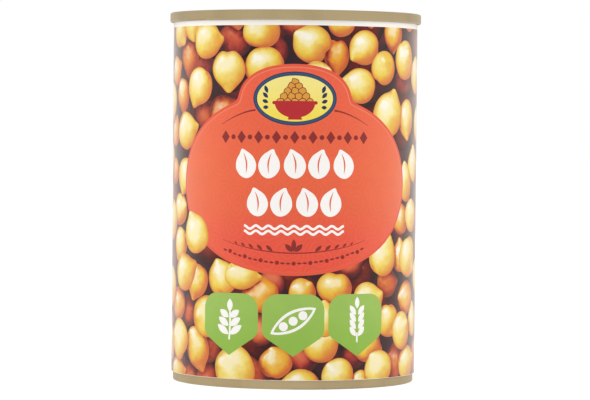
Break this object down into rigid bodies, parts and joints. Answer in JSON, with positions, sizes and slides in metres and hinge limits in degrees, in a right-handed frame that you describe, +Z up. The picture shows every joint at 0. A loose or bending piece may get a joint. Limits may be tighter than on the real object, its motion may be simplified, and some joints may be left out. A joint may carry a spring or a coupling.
{
  "type": "can of chickpeas",
  "caption": "Round double-seamed food can with a necked-in base and a glossy paper label printed with chickpeas.",
  "frame": {"origin": "centre of the base rim's lowest plane, on the surface the can stands on", "axes": "+Z up along the can's axis, -Y out of the middle of the label's front, +Y through the label's glued overlap"},
  "size_m": [0.0753, 0.0752, 0.11],
  "materials": {
    "tinplate": "satin",
    "gold_lacquer": "satin",
    "printed_paper": "gloss"
  },
  "bodies": {
    "root": {"can_body": "tinplate", "top_end": "gold_lacquer", "bottom_end": "gold_lacquer", "label": "printed_paper"}
  },
  "joints": []
}
